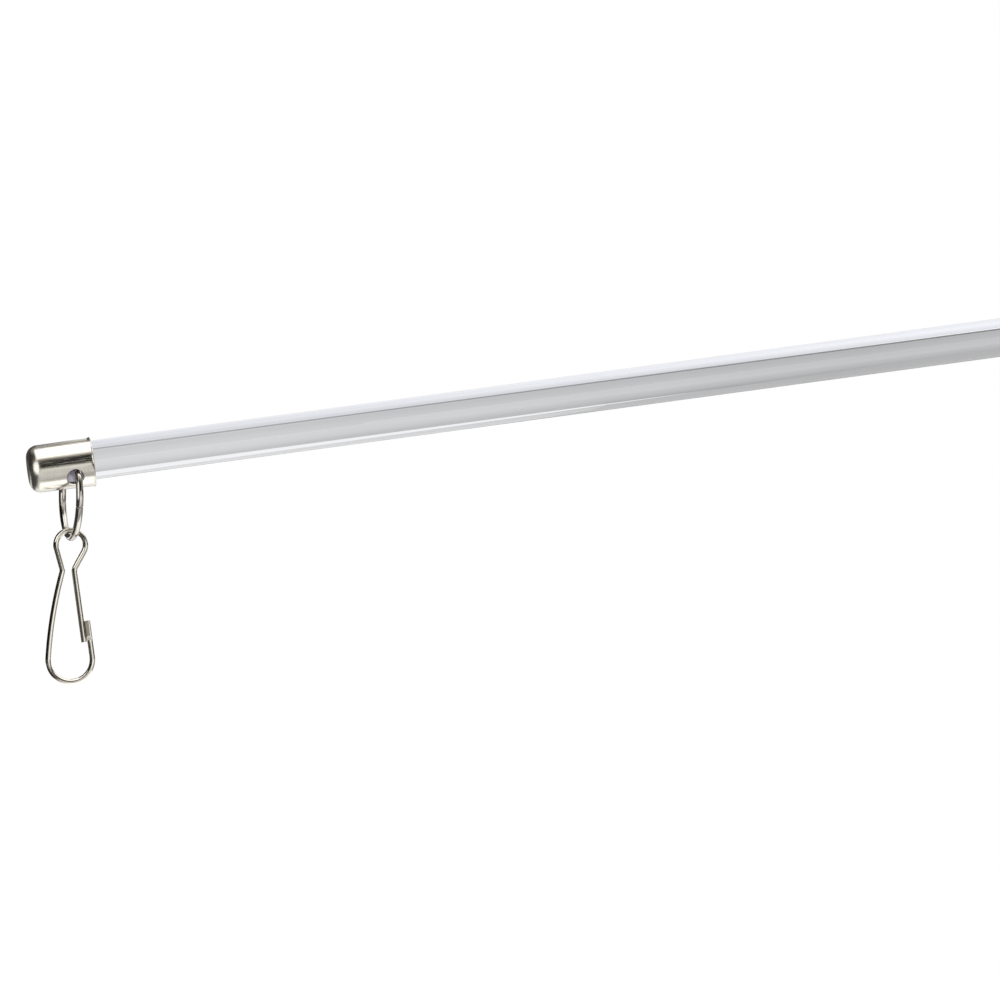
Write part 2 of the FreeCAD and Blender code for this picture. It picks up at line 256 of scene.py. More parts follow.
def make_rod(finish):
    """Round bar: chamfered ends, and a half wall each side that dips through the drilled cross hole."""
    x_low = HOLE_X - ROD_HOLED_BEFORE
    x_high = HOLE_X + ROD_HOLED_AFTER
    turns = full_turn(ROD_HALF_STEPS)
    cut_reach = ROD_CHAMFER * 1.01
    end_in, end_r = rod_end_rows()
    # From the middle of the capped end's face to the holed stretch
    straight = np.linspace(ROD_START + ROD_FIRST_ROW, x_low, 5)
    near_x = np.append(ROD_START + end_in, straight)
    near_r = np.append(end_r, np.full(len(straight), ROD_RADIUS))
    cut = (near_x < ROD_START + cut_reach).astype(float)
    patches = [patch(turned(near_x, near_r, turns, 0), cut[:, None])]
    # From the holed stretch to the middle of the free end's face
    close = np.linspace(x_high, ROD_CLOSE_END, 12)
    wide = np.linspace(ROD_WIDE_START, ROD_END - ROD_WIDE_MARGIN, 150)
    far_x = np.concatenate([close, wide, ROD_END - end_in[::-1]])
    far_r = np.concatenate([np.full(len(close) + len(wide), ROD_RADIUS), end_r[::-1]])
    cut = (far_x > ROD_END - cut_reach).astype(float)
    patches.append(patch(turned(far_x, far_r, turns, 0), cut[:, None]))
    # The holed stretch, from its frame in to the hole and half way through
    frame_x, frame_turn = wall_frame(x_low, x_high, 40, ROD_HALF_STEPS)
    aside = -CAP_DROP * math.cos(HOLE_ROLL)
    angle = np.arctan2(frame_turn * HOLE_SPREAD, frame_x - HOLE_X)
    extra, depth = rounded_edge(ROD_HOLE_EDGE, 4)
    share = np.linspace(1, 0, 22)[:, None]
    rim_x = HOLE_X + (ROD_HOLE_RADIUS + ROD_HOLE_EDGE) * np.cos(angle)
    rim_b = aside + (ROD_HOLE_RADIUS + ROD_HOLE_EDGE) * np.sin(angle)
    wall_x = share * frame_x + (1 - share) * rim_x
    wall_turn = share * frame_turn + (1 - share) * np.arcsin(rim_b / ROD_RADIUS)
    edge_x = HOLE_X + (ROD_HOLE_RADIUS + extra[1:, None]) * np.cos(angle)
    edge_b = aside + (ROD_HOLE_RADIUS + extra[1:, None]) * np.sin(angle)
    edge_radius = ROD_RADIUS - depth[1:, None]
    edge_turn = np.arcsin(edge_b / edge_radius)
    bore_share = np.linspace(0, 1, 12)[1:, None, None]
    for side in (1, -1):
        outside = half_wall_points(wall_x, wall_turn, ROD_RADIUS, side, 0)
        edge = half_wall_points(edge_x, edge_turn, edge_radius, side, 0)
        mouth = edge[-1]
        reach = (mouth @ HOLE_WAY)[None, :, None]
        bore = mouth[None] - bore_share * reach * HOLE_WAY
        points = np.concatenate([outside, edge, bore])
        rows = np.concatenate([np.zeros(len(outside)), np.ones(len(edge) + len(bore))])
        patches.append(patch(points, rows[:, None]))
    return make_piece("clear_rod", patches, finish, "cut")


# End cap

def cap_radius(x):
    """Outside radius of the drawn wall: a slight even draft from the closed end to the lip."""
    share = (x + CAP_LENGTH - CAP_CORNER) / (CAP_LENGTH - CAP_CORNER - CAP_LIP_LENGTH)
    return CAP_END_RADIUS + share * (CAP_MOUTH_RADIUS - CAP_END_RADIUS)


def cap_closed_end(turns):
    """Turned closed end: inside round the inner corner to the middle, and outside from the middle back."""
    corner_x = -CAP_LENGTH + CAP_CORNER
    corner_r = CAP_END_RADIUS - CAP_CORNER
    inner_corner = CAP_CORNER - CAP_WALL
    sweep = np.linspace(0, QUARTER, 20)
    straight = np.linspace(HOLE_X - CAP_HOLED_HALF, corner_x + 0.05, 8)
    face = np.full(len(CAP_FACE_ROWS), -CAP_LENGTH)
    inner_x = [straight, corner_x - inner_corner * np.sin(sweep), face + CAP_WALL]
    inner_r = [
        cap_radius(straight) - CAP_WALL,
        corner_r + inner_corner * np.cos(sweep),
        corner_r * CAP_FACE_ROWS[::-1],
    ]
    outer_x = [face, corner_x - CAP_CORNER * np.cos(sweep), straight[::-1]]
    outer_r = [
        corner_r * CAP_FACE_ROWS,
        corner_r + CAP_CORNER * np.sin(sweep),
        cap_radius(straight[::-1]),
    ]
    return [
        patch(turned(np.concatenate(inner_x), np.concatenate(inner_r), turns, CAP_DROP), 1.0),
        patch(turned(np.concatenate(outer_x), np.concatenate(outer_r), turns, CAP_DROP), 0.0),
    ]


def cap_lip(turns):
    """Turned lip: out along the wall, over the flare's arc, round both edges of the mouth and back in."""
    edge_rows = 5
    flare_radius = (CAP_LIP_LENGTH**2 + CAP_LIP_FLARE**2) / (2 * CAP_LIP_FLARE)
    flare_middle = CAP_MOUTH_RADIUS + flare_radius
    flare = np.linspace(0, math.asin((CAP_LIP_LENGTH - CAP_LIP_EDGE) / flare_radius), 12)
    straight = np.linspace(HOLE_X + CAP_HOLED_HALF, -CAP_LIP_LENGTH - 0.01, 4)
    out_x = np.concatenate([straight, -CAP_LIP_LENGTH + flare_radius * np.sin(flare)])
    out_r = np.concatenate([cap_radius(straight), flare_middle - flare_radius * np.cos(flare)])
    in_radius = flare_radius + CAP_WALL
    flare_in = np.linspace(math.asin((CAP_LIP_LENGTH - CAP_LIP_EDGE) / in_radius), 0, 10)
    in_x = np.concatenate([-CAP_LIP_LENGTH + in_radius * np.sin(flare_in), straight[::-1]])
    inner_wall = cap_radius(straight[::-1]) - CAP_WALL
    in_r = np.concatenate([flare_middle - in_radius * np.cos(flare_in), inner_wall])
    sweep = np.linspace(0, QUARTER, edge_rows + 1)[1:]
    over = CAP_LIP_EDGE * (1 - np.cos(sweep))
    under = CAP_LIP_EDGE * (1 - np.sin(sweep))
    lip_x = np.concatenate([out_x, -under, -over, in_x])
    lip_r = np.concatenate([out_r, out_r[-1] - over, in_r[0] + under, in_r])
    outside = np.zeros(len(out_x) + edge_rows)
    lip_mark = np.concatenate([outside, np.linspace(0.3, 1, edge_rows), np.ones(len(in_x))])
    return [patch(turned(lip_x, lip_r, turns, CAP_DROP), lip_mark[:, None])]


def cap_holed_stretch():
    """Half walls: in over the outside, through the hole's rounded edges, and out along the inside."""
    edge_rows = 6
    x_low = HOLE_X - CAP_HOLED_HALF
    x_high = HOLE_X + CAP_HOLED_HALF
    frame_x, frame_turn = wall_frame(x_low, x_high, 44, CAP_HALF_STEPS)
    angle = np.arctan2(frame_turn * HOLE_SPREAD, frame_x - HOLE_X)
    extra, depth = rounded_edge(CAP_HOLE_EDGE, edge_rows)
    bore_extra = np.concatenate([extra, extra[::-1]])[:, None]
    bore_depth = np.concatenate([depth, CAP_WALL - depth[::-1]])[:, None]
    bore_x = HOLE_X + (CAP_HOLE_RADIUS + bore_extra) * np.cos(angle)
    bore_b = (CAP_HOLE_RADIUS + bore_extra) * np.sin(angle)
    bore_radius = cap_radius(bore_x) - bore_depth
    bore_turn = np.arcsin(bore_b / bore_radius)
    share = np.linspace(1, 0, 26)[:-1, None]
    out_x = share * frame_x + (1 - share) * bore_x[0]
    out_turn = share * frame_turn + (1 - share) * bore_turn[0]
    in_x = share[::-1] * frame_x + (1 - share[::-1]) * bore_x[-1]
    in_turn = share[::-1] * frame_turn + (1 - share[::-1]) * bore_turn[-1]
    x = np.concatenate([out_x, bore_x, in_x])
    turn = np.concatenate([out_turn, bore_turn, in_turn])
    radius = np.concatenate([cap_radius(out_x), bore_radius, cap_radius(in_x) - CAP_WALL])
    outside = np.zeros(len(out_x) + edge_rows)
    rows = np.concatenate([outside, np.full(edge_rows, 0.7), np.ones(len(in_x))])
    walls = [half_wall_points(x, turn, radius, side, CAP_DROP) for side in (1, -1)]
    return [patch(wall, rows[:, None]) for wall in walls]


def make_cap(finish):
    """Drawn cup: turned closed end and flared lip, joined by half walls that roll through the cross hole."""
    turns = full_turn(CAP_HALF_STEPS)
    patches = cap_closed_end(turns) + cap_lip(turns) + cap_holed_stretch()
    return make_piece("drawn_cap", patches, finish, "inside")


# Ring and hook: round wire along a path

def hanging_axes(lean, turn):
    """Axes of a piece that hangs leaning, then turns about its hanging line: across, back, down."""
    down = np.array([-math.sin(lean), 0.0, -math.cos(lean)])
    level = np.array([math.cos(lean), 0.0, -math.sin(lean)])
    depth = np.array([0.0, 1.0, 0.0])
    back = depth * math.cos(turn) - level * math.sin(turn)
    across = level * math.cos(turn) + depth * math.sin(turn)
    return across, back, down


def ring_centre():
    """Where the ring hangs in the cross hole, from the hole's own line and the cap's radius."""
    _, back, down = hanging_axes(RING_LEAN, RING_TURN)
    hole = np.array([HOLE_X, 0.0, -CAP_DROP])
    wall_middle = CAP_END_RADIUS - CAP_WALL / 2
    hang = math.sqrt(RING_RADIUS**2 - wall_middle**2) + RING_SAG
    to_back = hang * math.sin(HOLE_ROLL) - RING_SLIDE * math.cos(HOLE_ROLL)
    to_bottom = hang * math.cos(HOLE_ROLL) + RING_SLIDE * math.sin(HOLE_ROLL)
    return hole + back * to_back + down * to_bottom + np.array([RING_SHIFT, 0.0, 0.0])


def cut_end(edge):
    """Profile of a sheared wire end, from its middle out: the share of the section and the step back."""
    angle = np.linspace(0, QUARTER, END_EDGE_ROWS)
    share = np.concatenate([END_FLAT_ROWS, 1 - edge + edge * np.sin(angle)])
    back = np.concatenate([np.zeros(len(END_FLAT_ROWS)), edge * (1 - np.cos(angle))])
    return share, back


def cut_marks(middle_rows):
    """Marks along a wire: 1 on the flat of each sheared end, falling to 0 round its edge."""
    flat = np.ones(len(END_FLAT_ROWS))
    edge = np.linspace(1, 0, END_EDGE_ROWS)
    return np.concatenate([flat, edge, np.zeros(middle_rows), np.linspace(0, 1, END_EDGE_ROWS), flat])


def round_section(radius, steps):
    """Points once round a wire's section, closed on the first."""
    around = np.linspace(0, FULL, steps + 1)
    return around, radius * np.stack([np.cos(around), np.sin(around)], axis=-1)


def carried(path, side, other, section, along):
    """A section carried along a path: each point is the path plus the section's parts on side and other."""
    points = path[:, None, :] + section[..., :1] * side[:, None, :] + section[..., 1:] * other[:, None, :]
    around = np.linspace(0, 1, section.shape[1])
    lengths = np.stack(np.broadcast_arrays(along[:, None], around[None, :]), axis=-1)
    return points, lengths


def make_ring(finish):
    """Round wire bent once round, with its two sheared ends butted at a narrow seam on the front leg."""
    across, back, down = hanging_axes(RING_LEAN, RING_TURN)
    first = down * math.sin(RING_SEAM_BELOW) - back * math.cos(RING_SEAM_BELOW)
    second = np.cross(across, first)
    gap = RING_SEAM / RING_RADIUS
    share, step_back = cut_end(RING_END_EDGE)
    step_back = step_back * RING_WIRE_RADIUS / RING_RADIUS
    middle = np.linspace(step_back[-1], FULL - gap - step_back[-1], RING_STEPS)[1:-1]
    angle = gap / 2 + np.concatenate([step_back, middle, FULL - gap - step_back[::-1]])
    scale = np.concatenate([share, np.ones(len(middle)), share[::-1]])
    side = np.cos(angle)[:, None] * first + np.sin(angle)[:, None] * second
    path = ring_centre() + RING_RADIUS * side
    _, circle = round_section(RING_WIRE_RADIUS, RING_SECTION_STEPS)
    section = scale[:, None, None] * circle[None]
    other = np.broadcast_to(across, path.shape)
    points, lengths = carried(path, side, other, section, angle * RING_RADIUS * MM)
    marks = cut_marks(len(middle))[:, None]
    return make_piece("jump_ring", [patch(points, marks, lengths)], finish, "cut")


def tangent_way(low, low_radius, high, high_radius, side):
    """Direction of the straight wire from a neck bend up to the top loop, touching both circles."""
    gap = high - low
    swing = math.asin((low_radius + high_radius) / math.hypot(*gap))
    return math.atan2(gap[1], gap[0]) - side * swing


def bend_points(centre, radius, start, end):
    """Points on an arc: the centre plus the radius at angles spaced evenly from start to end."""
    count = max(8, int(abs(end - start) * radius / HOOK_STEP))
    angle = np.linspace(start, end, count)
    return centre + radius * np.stack([np.cos(angle), np.sin(angle)], axis=-1)


def run_points(start, end):
    """Points spaced evenly on a straight run, without its two ends."""
    count = max(3, int(math.hypot(*(end - start)) / HOOK_STEP))
    share = np.linspace(0, 1, count + 1)[1:-1, None]
    return start + share * (end - start)


def hook_route():
    """The hook's centre line in its own plane, from the gate's cut end up, over and round to the catch."""
    bend = HOOK_NECK_BEND
    lean = HOOK_ARM_LEAN
    neck = -HOOK_NECK_DROP
    up = np.array([-math.sin(lean), math.cos(lean)])
    out = np.array([math.cos(lean), math.sin(lean)])
    top_centre = np.array([0.0, -HOOK_TOP_RADIUS])
    low_centre = np.array([0.0, -HOOK_TOP_RADIUS - HOOK_CENTRES])
    arm_foot = low_centre + out * HOOK_LOW_RADIUS

    def beside_arm(inward, height):
        foot = arm_foot - out * inward
        return foot + up * ((height - foot[1]) / up[1])

    arm_end = beside_arm(0, -HOOK_ARM_DROP)
    gate_end = beside_arm(HOOK_GATE_SPACING, -HOOK_GATE_DROP)
    right_bend = beside_arm(HOOK_GATE_SPACING - bend, neck)
    left_bend = np.array([-HOOK_NECK_LEFT - bend, neck])
    right_way = tangent_way(right_bend, bend, top_centre, HOOK_TOP_RADIUS, 1)
    left_way = tangent_way(left_bend, bend, top_centre, HOOK_TOP_RADIUS, -1)
    # The left leg's arc touches the lower loop and the left bend
    to_loop = low_centre - left_bend
    span = math.hypot(*to_loop)
    to_loop /= span
    touch = HOOK_LEG_RADIUS + bend
    share = (span**2 + touch**2 - (HOOK_LEG_RADIUS - HOOK_LOW_RADIUS) ** 2) / (2 * span)
    aside = math.sqrt(touch**2 - share**2)
    leg_centre = left_bend + to_loop * share + np.array([-to_loop[1], to_loop[0]]) * aside
    leg_way = math.atan2(left_bend[1] - leg_centre[1], left_bend[0] - leg_centre[0])
    leg_foot = math.atan2(low_centre[1] - leg_centre[1], low_centre[0] - leg_centre[0]) % FULL
    right = bend_points(right_bend, bend, math.pi + lean, right_way + QUARTER)
    loop = bend_points(top_centre, HOOK_TOP_RADIUS, right_way - QUARTER, left_way + QUARTER)
    left = bend_points(left_bend, bend, left_way - QUARTER, leg_way - math.pi)
    leg_line = bend_points(leg_centre, HOOK_LEG_RADIUS, leg_way, leg_foot)
    low = bend_points(low_centre, HOOK_LOW_RADIUS, leg_foot, FULL + lean)
    return np.concatenate(
        [
            gate_end[None],
            run_points(gate_end, right[0]),
            right,
            run_points(right[-1], loop[0]),
            loop,
            run_points(loop[-1], left[0]),
            left,
            leg_line[1:-1],
            low,
            run_points(low[-1], arm_end),
            arm_end[None],
        ]
    )


def catch_section(around):
    """Pressed catch: a squared round whose inner side is pushed back onto a circle round the gate's wire."""
    seat = HOOK_WIRE_RADIUS + HOOK_GATE_CLEARANCE
    inner = -(seat + HOOK_CATCH_LIP)
    middle = (HOOK_WIRE_RADIUS + inner) / 2
    half_deep = (HOOK_WIRE_RADIUS - inner) / 2
    cosine = np.cos(around)
    sine = np.sin(around)
    p = middle + half_deep * np.sign(cosine) * np.abs(cosine) ** HOOK_CATCH_SQUARENESS
    q = HOOK_CATCH_WIDTH / 2 * np.sign(sine) * np.abs(sine) ** HOOK_CATCH_SQUARENESS
    away = np.hypot(p + HOOK_GATE_SPACING, q)
    push = np.maximum(seat / away, 1)
    return np.stack([(p + HOOK_GATE_SPACING) * push - HOOK_GATE_SPACING, q * push], axis=-1)


def between(places, along, values):
    """Pairs of values read off at places between the ones they are known at."""
    return np.stack([np.interp(places, along, column) for column in values.T], axis=-1)


def make_hook(finish):
    """Bent wire with a round section that is pressed wide into a catch at the arm's end."""
    across, back, down = hanging_axes(HOOK_LEAN, -HOOK_TURN)
    reach = RING_RADIUS - RING_WIRE_RADIUS - HOOK_WIRE_RADIUS - HOOK_LINK_CLEARANCE
    top = ring_centre() + down * reach - across * HOOK_SLIDE
    route = hook_route()
    spans = np.hypot(*np.diff(route, axis=0).T)
    along = np.concatenate([[0.0], np.cumsum(spans)])
    total = along[-1]
    way = np.gradient(route, along, axis=0)
    way /= np.linalg.norm(way, axis=1)[:, None]
    # Sheared ends: rows that close the section at the gate's end and at the catch's end
    share, step_back = cut_end(HOOK_END_EDGE)
    step_back = step_back * HOOK_WIRE_RADIUS
    keep = (along > step_back[-1]) & (along < total - step_back[-1])
    places = np.concatenate([step_back, along[keep], total - step_back[::-1]])
    scale = np.concatenate([share, np.ones(keep.sum()), share[::-1]])
    flat = between(places, along, route)
    heading = between(places, along, way)
    path = top + flat[:, :1] * across - flat[:, 1:] * down
    side = heading[:, 1:] * across + heading[:, :1] * down
    other = np.broadcast_to(back, path.shape)
    # Tight bends squeeze the wire a little across the bend. Rows at one place are kept a hair apart
    apart = places + 1e-6 * np.arange(len(places))
    turning = np.abs(np.gradient(np.unwrap(np.arctan2(heading[:, 1], heading[:, 0])), apart))
    evening = np.ones(HOOK_EVEN_ROWS) / HOOK_EVEN_ROWS
    turning = np.convolve(np.minimum(turning, HOOK_TIGHTEST), evening, mode="same")
    squeeze = 1 - HOOK_SQUEEZE * turning
    around, circle = round_section(HOOK_WIRE_RADIUS, HOOK_SECTION_STEPS)
    round_wire = circle[None] * np.stack([squeeze, np.ones(len(squeeze))], axis=-1)[:, None, :]
    pressed = np.clip((places - (total - HOOK_CATCH_LENGTH)) / HOOK_PRESS_LENGTH, 0, 1)
    pressed = (pressed**2 * (3 - 2 * pressed))[:, None, None]
    section = scale[:, None, None] * ((1 - pressed) * round_wire + pressed * catch_section(around)[None])
    points, lengths = carried(path, side, other, section, places * MM)
    marks = cut_marks(keep.sum())[:, None]
    return make_piece("snap_wire", [patch(points, marks, lengths)], finish, "cut")


# Finishes

BUMP_DEPTH = 0.00002
TINT_STOPS = (0.3, 0.7)


def new_finish(name):
    """A node finish with its shader, and two helpers that add a node and join two sockets."""
    finish = bpy.data.materials.new(name)
    finish.use_nodes = True
    tree = finish.node_tree
    shader = tree.nodes["Principled BSDF"]

    def add(kind, **values):
        node = tree.nodes.new(kind)
        for key, value in values.items():
            setattr(node, key, value)
        return node

    return finish, shader, add, tree.links.new


def stretched_noise(add, join, source, scale, detail, rough):
    """Noise on the given coordinate, stretched by a different scale on each axis."""
    mapping = add("ShaderNodeMapping")
    mapping.inputs["Scale"].default_value = scale
    noise = add("ShaderNodeTexNoise")
    noise.inputs["Scale"].default_value = 1.0
    noise.inputs["Detail"].default_value = detail
    noise.inputs["Roughness"].default_value = rough
    join(source, mapping.inputs["Vector"])
    join(mapping.outputs["Vector"], noise.inputs["Vector"])
    return noise.outputs["Fac"]


def spread(add, join, value, low, high, to_low, to_high):
    """A value between low and high, carried over to another range and held inside it."""
    node = add("ShaderNodeMapRange")
    node.inputs["From Min"].default_value = low
    node.inputs["From Max"].default_value = high
    node.inputs["To Min"].default_value = to_low
    node.inputs["To Max"].default_value = to_high
    join(value, node.inputs["Value"])
    return node.outputs["Result"]


def tints(add, join, value, low_tint, high_tint):
    """A colour that runs from one tint to another as a value rises between the two stops."""
    node = add("ShaderNodeValToRGB")
    for element, place, colour in zip(node.color_ramp.elements, TINT_STOPS, (low_tint, high_tint)):
        element.position = place
        element.color = (*colour, 1.0)
    join(value, node.inputs["Fac"])
    return node.outputs["Color"]


def raised(add, join, value, strength):
    """A bump from a height value."""
    node = add("ShaderNodeBump")
    node.inputs["Strength"].default_value = strength
    node.inputs["Distance"].default_value = BUMP_DEPTH
    join(value, node.inputs["Height"])
    return node.outputs["Normal"]


def blended(add, join, share, first, number):
    """A value mixed towards one plain number by a share from 0 to 1."""
    node = add("ShaderNodeMix", data_type="FLOAT")
    join(share, node.inputs["Factor"])
    join(first, node.inputs["A"])
    node.inputs["B"].default_value = number
    return node.outputs["Result"]


def tinted(add, join, share, first, colour):
    """A colour mixed towards one plain tint by a share from 0 to 1."""
    node = add("ShaderNodeMix", data_type="RGBA")
    join(share, node.inputs["Factor"])
    join(first, node.inputs["A"])
    node.inputs["B"].default_value = (*colour, 1.0)
    return node.outputs["Result"]


def clear_acrylic():
    """Cast acrylic: clear with a cool tint, faint lengthwise handling marks, frosted where it was cut."""
    refraction = 1.49
    cut_tint = (0.86, 0.82, 0.93)
    cut_roughness = 0.32
    cut_clearness = 0.08
    finish, shader, add, join = new_finish("clear_acrylic")
    place = add("ShaderNodeTexCoord").outputs["Object"]
    drawn = stretched_noise(add, join, place, scale=(9.0, 900.0, 900.0), detail=3.0, rough=0.55)
    cloudy = stretched_noise(add, join, place, scale=(30.0, 120.0, 120.0), detail=2.0, rough=0.5)
    marks = stretched_noise(add, join, place, scale=(60.0, 2600.0, 2600.0), detail=2.0, rough=0.6)
    cut = add("ShaderNodeAttribute", attribute_name="cut").outputs["Fac"]
    colour = tints(add, join, cloudy, (0.955, 0.962, 0.975), (0.985, 0.988, 0.995))
    join(tinted(add, join, cut, colour, cut_tint), shader.inputs["Base Color"])
    smooth = spread(add, join, marks, 0.62, 0.78, 0.004, 0.09)
    join(blended(add, join, cut, smooth, cut_roughness), shader.inputs["Roughness"])
    join(raised(add, join, drawn, 0.012), shader.inputs["Normal"])
    shader.inputs["IOR"].default_value = refraction
    join(spread(add, join, cut, 0.0, 1.0, 1.0, cut_clearness), shader.inputs["Transmission Weight"])
    return finish


def plated_cap():
    """Bright nickel on a drawn cup: warm grey, duller streaks along it, softer round its closed end."""
    inside_tint = (0.60, 0.57, 0.53)
    inside_roughness = 0.42
    streak_roughness = 0.42
    end_roughness = 0.29
    bend_start = (-CAP_LENGTH + CAP_CORNER + 0.6) * MM
    bend_full = (-CAP_LENGTH + CAP_CORNER - 0.9) * MM
    finish, shader, add, join = new_finish("plated_cap")
    place = add("ShaderNodeTexCoord").outputs["Object"]
    drawn = stretched_noise(add, join, place, scale=(120.0, 2200.0, 2200.0), detail=4.0, rough=0.6)
    cloudy = stretched_noise(add, join, place, scale=(260.0, 260.0, 260.0), detail=3.0, rough=0.5)
    scratches = stretched_noise(add, join, place, scale=(110.0, 4200.0, 4200.0), detail=2.0, rough=0.5)
    inside = add("ShaderNodeAttribute", attribute_name="inside").outputs["Fac"]
    colour = tints(add, join, cloudy, (0.70, 0.665, 0.59), (0.79, 0.755, 0.685))
    join(tinted(add, join, inside, colour, inside_tint), shader.inputs["Base Color"])
    gloss = spread(add, join, drawn, 0.3, 0.7, 0.11, 0.23)
    streaks = spread(add, join, scratches, 0.585, 0.68, 0.0, 1.0)
    streaked = blended(add, join, streaks, gloss, streak_roughness)
    parts = add("ShaderNodeSeparateXYZ")
    join(place, parts.inputs["Vector"])
    bend = spread(add, join, parts.outputs["X"], bend_full, bend_start, 1.0, 0.0)
    softened = blended(add, join, bend, streaked, end_roughness)
    join(blended(add, join, inside, softened, inside_roughness), shader.inputs["Roughness"])
    join(raised(add, join, drawn, 0.48), shader.inputs["Normal"])
    shader.inputs["Metallic"].default_value = 1.0
    return finish


def plated_wire(name, worn, bright):
    """Nickel on drawn wire: fine lines along the wire, from a worn to a bright tint, dark sheared ends."""
    cut_tint = (0.42, 0.39, 0.34)
    cut_roughness = 0.4
    finish, shader, add, join = new_finish(name)
    lengths = add("ShaderNodeUVMap", uv_map="lengths").outputs["UV"]
    place = add("ShaderNodeTexCoord").outputs["Object"]
    drawn = stretched_noise(add, join, lengths, scale=(120.0, 9.0, 1.0), detail=2.0, rough=0.5)
    cloudy = stretched_noise(add, join, place, scale=(420.0, 420.0, 420.0), detail=3.0, rough=0.55)
    cut = add("ShaderNodeAttribute", attribute_name="cut").outputs["Fac"]
    colour = tints(add, join, cloudy, worn, bright)
    join(tinted(add, join, cut, colour, cut_tint), shader.inputs["Base Color"])
    gloss = spread(add, join, drawn, 0.3, 0.7, 0.08, 0.15)
    join(blended(add, join, cut, gloss, cut_roughness), shader.inputs["Roughness"])
    join(raised(add, join, drawn, 0.05), shader.inputs["Normal"])
    shader.inputs["Metallic"].default_value = 1.0
    return finish


# The four pieces

ring_finish = plated_wire("ring_wire", worn=(0.52, 0.493, 0.445), bright=(0.63, 0.60, 0.55))
hook_finish = plated_wire("hook_wire", worn=(0.71, 0.67, 0.59), bright=(0.82, 0.78, 0.70))
pieces = [
    (make_rod(clear_acrylic()), "rod", "wand", "clear_acrylic"),
    (make_cap(plated_cap()), "end_cap", "wand", "plated_cap"),
    (make_ring(ring_finish), "ring", "ring", "plated_wire"),
    (make_hook(hook_finish), "snap_hook", "hook", "plated_wire"),
]
for piece, node, body, slot in pieces:
    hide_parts(node)
    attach(piece, body)


# Studio: pale floor, white surround, soft lamps, and hidden cards that show only in reflections or
# through the rod. Places are in metres, and a level of 1 is white.

FLOOR_HEIGHT = -0.16
FLOOR_HALF = 20
FLOOR_TINT = (0.86, 0.86, 0.86, 1.0)
FLOOR_LIFT = 0.27
SURROUND_LIGHT = 0.5
SURROUND_SEEN = 1.0
WALL_Y = 0.30
WALL_MIDDLE = 0.02
WALL_FALL = -14.0
ALONG_X = (1.0, 0.0, 0.0)
ALONG_Y = (0.0, 1.0, 0.0)
ALONG_Z = (0.0, 0.0, 1.0)
WHITE = (1, 1, 1)
CREAM = (1, 1, 0.99)
SAND = (1, 0.98, 0.95)
BROWN = (1, 0.97, 0.94)


def sheet(name, origin, first, second, finish):
    """A flat sheet: the origin plus two edges, each times a share from 0 to 1."""
    share = np.linspace(0, 1, 2)
    grid = np.array(origin) + share[:, None, None] * np.array(first)
    grid = grid + share[None, :, None] * np.array(second)
    mesh = bpy.data.meshes.new(name)
    mesh.from_pydata(grid.reshape(-1, 3).tolist(), [], [(0, 1, 3, 2)])
    mesh.materials.append(finish)
    stage_sheet = bpy.data.objects.new(name, mesh)
    bpy.context.scene.collection.objects.link(stage_sheet)
    return stage_sheet


def hidden_card(card, glossy, transmission):
    """A card that the camera and the floor don't see, only reflections or what shows through the rod."""
    card.visible_camera = False
    card.visible_diffuse = False
    card.visible_shadow = False
    card.visible_glossy = glossy
    card.visible_transmission = transmission


def reckon(tree, operation, *values):
    """One step of arithmetic on sockets and plain numbers."""
    node = tree.nodes.new("ShaderNodeMath")
    node.operation = operation
    for socket, value in zip(node.inputs, values):
        if isinstance(value, float):
            socket.default_value = value
        else:
            tree.links.new(value, socket)
    return node.outputs["Value"]


def seen_directly(tree):
    """1 for camera, reflection and see-through rays, and 0 for the light that falls on things."""
    path = tree.nodes.new("ShaderNodeLightPath").outputs
    seen = reckon(tree, "MAXIMUM", path["Is Camera Ray"], path["Is Glossy Ray"])
    return reckon(tree, "MAXIMUM", seen, path["Is Transmission Ray"])


def bare_finish(name):
    """A node finish with its own shader taken out, its tree, and the socket for another surface."""
    finish = bpy.data.materials.new(name)
    finish.use_nodes = True
    tree = finish.node_tree
    tree.nodes.remove(tree.nodes["Principled BSDF"])
    return finish, tree, tree.nodes["Material Output"].inputs["Surface"]


def glow(name, colour, strength):
    """A card that gives off one even tint."""
    finish, tree, surface = bare_finish(name)
    emission = tree.nodes.new("ShaderNodeEmission")
    emission.inputs["Color"].default_value = (*colour, 1.0)
    emission.inputs["Strength"].default_value = strength
    tree.links.new(emission.outputs["Emission"], surface)
    finish.cycles.emission_sampling = "NONE"
    return finish


def fading_glow(name, colour, way, start, end, first, last, ease="LINEAR"):
    """A card whose light changes along a way, from first to last between two distances along it."""
    finish = glow(name, colour, 1.0)
    tree = finish.node_tree
    place = tree.nodes.new("ShaderNodeTexCoord")
    along = tree.nodes.new("ShaderNodeVectorMath")
    along.operation = "DOT_PRODUCT"
    along.inputs[1].default_value = way
    fade = tree.nodes.new("ShaderNodeMapRange")
    fade.interpolation_type = ease
    fade.inputs["From Min"].default_value = start
    fade.inputs["From Max"].default_value = end
    fade.inputs["To Min"].default_value = first
    fade.inputs["To Max"].default_value = last
    tree.links.new(place.outputs["Object"], along.inputs[0])
    tree.links.new(along.outputs["Value"], fade.inputs["Value"])
    tree.links.new(fade.outputs["Result"], tree.nodes["Emission"].inputs["Strength"])
    return finish


